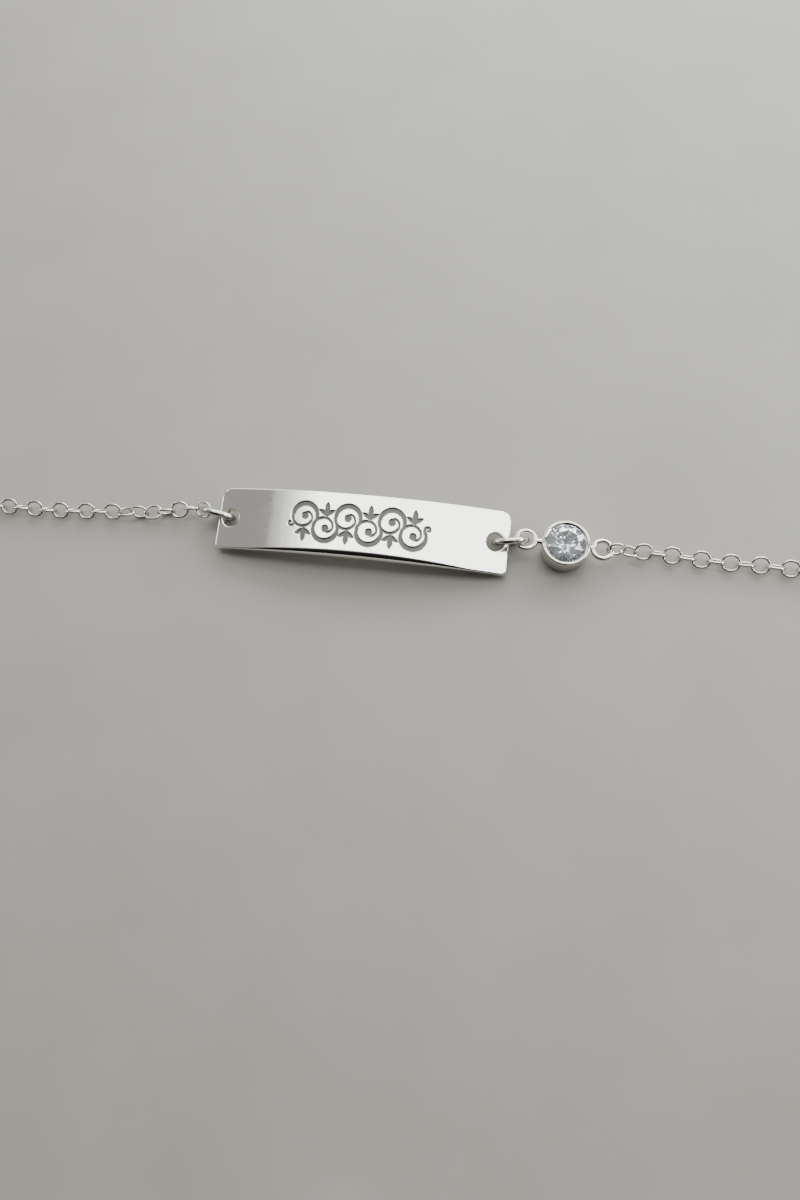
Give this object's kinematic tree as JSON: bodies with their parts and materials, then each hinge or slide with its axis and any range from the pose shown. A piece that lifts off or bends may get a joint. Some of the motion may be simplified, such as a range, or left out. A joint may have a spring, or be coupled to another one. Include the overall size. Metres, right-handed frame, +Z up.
{
  "type": "id bracelet",
  "caption": "Fine chain bracelet with a curved engraved plate, a round stone in a cup setting and a spring ring clasp, closed and lying flat.",
  "frame": {"origin": "on the surface that the bracelet lies on, under the middle of its box", "axes": "+X along the name plate towards the stone, +Y from the clasp towards the name plate, +Z up"},
  "size_m": [0.0715, 0.0514, 0.003],
  "materials": {
    "plate_silver": "mirror-polished silver with matt engraved lines",
    "ring_silver": "tumble-polished silver wire",
    "cup_silver": "polished cast silver",
    "cut_stone": "clear brilliant-cut cubic zirconia",
    "chain_silver": "tumble-polished silver wire links",
    "clasp_silver": "polished silver tube"
  },
  "bodies": {
    "root": {"name_plate": "plate_silver", "ring_left": "ring_silver", "ring_right": "ring_silver", "cup": "cup_silver", "stone": "cut_stone", "chain_left": "chain_silver", "chain_right": "chain_silver", "clasp": "clasp_silver", "clasp_ring": "ring_silver", "end_ring": "ring_silver"}
  },
  "joints": []
}
